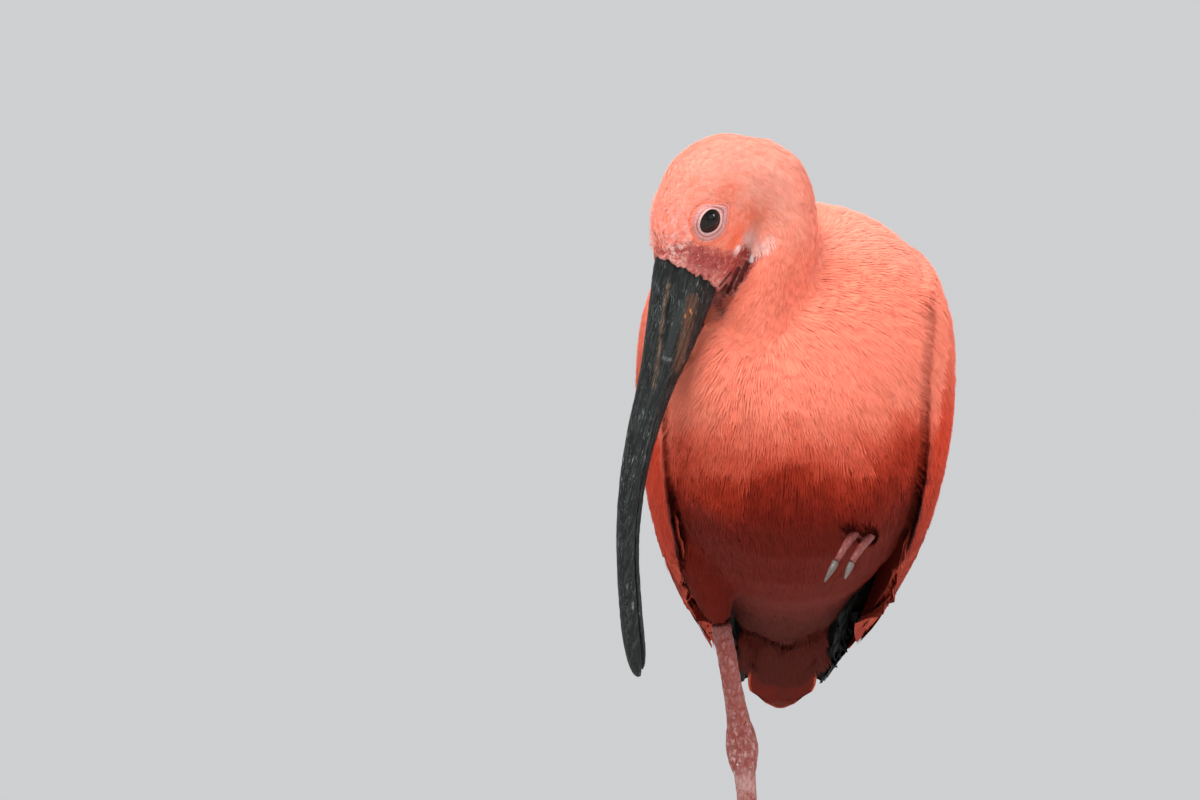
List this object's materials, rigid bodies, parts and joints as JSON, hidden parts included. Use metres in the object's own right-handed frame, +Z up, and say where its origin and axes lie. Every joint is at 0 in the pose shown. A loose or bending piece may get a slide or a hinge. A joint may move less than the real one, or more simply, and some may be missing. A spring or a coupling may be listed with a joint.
{
  "type": "scarlet ibis",
  "caption": "Still, life-size scarlet ibis asleep on its feet: it rests on one leg, with its long down-curved bill hanging in front of its breast.",
  "frame": {"origin": "on the floor under the middle of the bird's box", "axes": "+Z up, the bird faces -Y, its own left side is towards +X"},
  "size_m": [0.1272, 0.2216, 0.3253],
  "materials": {
    "body_plumage": "soft matt feathers over flesh",
    "wing_plumage": "smooth vaned feathers",
    "black_plumage": "smooth black vaned feathers",
    "bill": "scuffed horn with a low sheen",
    "eyes": "wet, dark brown",
    "leg_skin": "scaled bare skin",
    "claws": "pale translucent horn"
  },
  "bodies": {
    "root": {"trunk": "body_plumage", "neck": "body_plumage", "head": "body_plumage", "thigh_right": "body_plumage", "wing_left": "wing_plumage", "wing_right": "wing_plumage", "tail": "wing_plumage", "primaries_left": "black_plumage", "primaries_right": "black_plumage", "bill_upper": "bill", "bill_lower": "bill", "eye_left": "eyes", "eye_right": "eyes", "tibia_right": "leg_skin", "ankle_right": "leg_skin", "tarsus_right": "leg_skin", "toe_right_inner": "leg_skin", "toe_right_middle": "leg_skin", "toe_right_outer": "leg_skin", "toe_right_hind": "leg_skin", "toe_left_middle": "leg_skin", "toe_left_inner": "leg_skin", "claw_right_inner": "claws", "claw_right_middle": "claws", "claw_right_outer": "claws", "claw_right_hind": "claws", "claw_left_middle": "claws", "claw_left_inner": "claws"}
  },
  "joints": []
}
